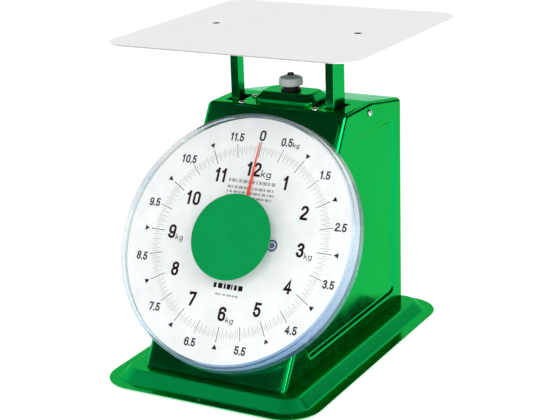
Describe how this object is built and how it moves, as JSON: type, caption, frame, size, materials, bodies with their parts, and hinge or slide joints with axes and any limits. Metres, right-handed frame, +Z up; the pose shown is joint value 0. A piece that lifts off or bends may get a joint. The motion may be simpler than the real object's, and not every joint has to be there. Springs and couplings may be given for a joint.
{
  "type": "dial platform scale",
  "caption": "Counter scale with a leaning round dial in a clear domed cover, a flat weighing plate on two posts, a zero knob and a sprung rack-and-pinion pointer.",
  "frame": {"origin": "on the table top, under the middle of the base and of the whole part's box", "axes": "+Z up; the dial faces -Y and leans back; +X to the right of a person reading the dial"},
  "size_m": [0.28, 0.348, 0.3384],
  "materials": {
    "green": "glossy green stoving enamel",
    "stainless": "satin stainless sheet",
    "steel": "zinc-plated sheet",
    "dark_steel": "blackened steel",
    "zinc": "bright zinc plate",
    "brass": "plain brass",
    "rubber": "matt black",
    "black": "black moulding",
    "white": "off-white moulding",
    "enamel": "satin white enamel",
    "clear": "clear moulded plastic, pale blue at its edge",
    "red": "red lacquer",
    "seal": "soft metal seal"
  },
  "bodies": {
    "casing_body": {"base_screw_front_left": "zinc", "base_screw_front_right": "zinc", "base_screw_rear_left": "zinc", "base_screw_rear_right": "zinc", "base_tray": "green", "casing": "green", "dial_cover": "clear", "dial_pan": "green", "dial_plate": "enamel", "foot_front_left": "rubber", "foot_front_right": "rubber", "foot_rear_left": "rubber", "foot_rear_right": "rubber", "front_panel": "green", "hub_disc": "green", "hub_rivet": "green", "knob_collar": "black", "lever_bracket_left": "steel", "lever_bracket_right": "steel", "main_spring_left": "steel", "main_spring_right": "steel", "movement_cage": "brass", "movement_plate": "brass", "rack_guide": "brass", "seal_rivet": "seal", "side_screw_left": "zinc", "side_screw_right": "zinc", "stop_bumper": "rubber", "top_beam": "steel", "top_housing": "green", "top_screw_front_left": "zinc", "top_screw_front_right": "zinc", "top_screw_rear_left": "zinc", "top_screw_rear_right": "zinc"},
    "load_frame": {"platform": "stainless", "platform_bar": "steel", "platform_screw_left": "zinc", "platform_screw_right": "zinc", "post_left": "green", "post_right": "green", "spring_anchor_bar": "steel", "lower_cross_beam": "steel", "drive_arm": "steel", "guide_pin_upper_left": "zinc", "guide_pin_upper_right": "zinc", "guide_pin_lower_left": "zinc", "guide_pin_lower_right": "zinc"},
    "rack_body": {"rack": "brass"},
    "pointer_body": {"pointer": "red", "pointer_hub": "brass", "pointer_shaft": "steel", "pinion": "brass"},
    "upper_lever_body": {"upper_lever": "steel", "upper_axle": "zinc"},
    "lower_lever_body": {"lower_lever": "steel", "lower_axle": "zinc"},
    "zero_hanger": {"hanger_bar": "steel"},
    "zero_adjuster": {"zero_knob": "white", "adjusting_screw": "dark_steel"}
  },
  "joints": [
    {"name": "platform_slide", "type": "slide", "parent": "casing_body", "child": "load_frame", "axis": [0, 0, -1], "range_m": [0, 0.01466], "stiffness_N_per_m": 8029.8, "springref_m": -0.00177, "deforming": ["main_spring_left", "main_spring_right"]},
    {"name": "rack_slide", "type": "slide", "parent": "casing_body", "child": "rack_body", "axis": [0, -0.515, -0.8572], "range_m": [0, 0.01258]},
    {"name": "pointer_turn", "type": "hinge", "parent": "casing_body", "child": "pointer_body", "pos_m": [0, -0.0772, 0.1406], "axis": [0, 0.8572, -0.515], "range_deg": [0, 360.5]},
    {"name": "upper_lever_turn", "type": "hinge", "parent": "casing_body", "child": "upper_lever_body", "pos_m": [0, 0.11, 0.19], "axis": [1, 0, 0], "range_deg": [0, 12.1]},
    {"name": "lower_lever_turn", "type": "hinge", "parent": "casing_body", "child": "lower_lever_body", "pos_m": [0, 0.11, 0.06], "axis": [1, 0, 0], "range_deg": [0, 12.1]},
    {"name": "zero_slide", "type": "slide", "parent": "casing_body", "child": "zero_hanger", "axis": [0, 0, 1], "range_m": [-0.001, 0.001]},
    {"name": "zero_turn", "type": "hinge", "parent": "casing_body", "child": "zero_adjuster", "pos_m": [0, 0.043, 0.28], "axis": [0, 0, 1], "range_deg": [-361, 361]}
  ],
  "couplings": [
    {"joint": "rack_slide", "follows": "platform_slide", "ratio": 0.85717},
    {"joint": "pointer_turn", "follows": "platform_slide", "rad_per_m": 428.58},
    {"joint": "upper_lever_turn", "follows": "platform_slide", "rad_per_m": 14.312},
    {"joint": "lower_lever_turn", "follows": "platform_slide", "rad_per_m": 14.312},
    {"joint": "zero_turn", "follows": "zero_slide", "rad_per_m": 6283.2}
  ]
}
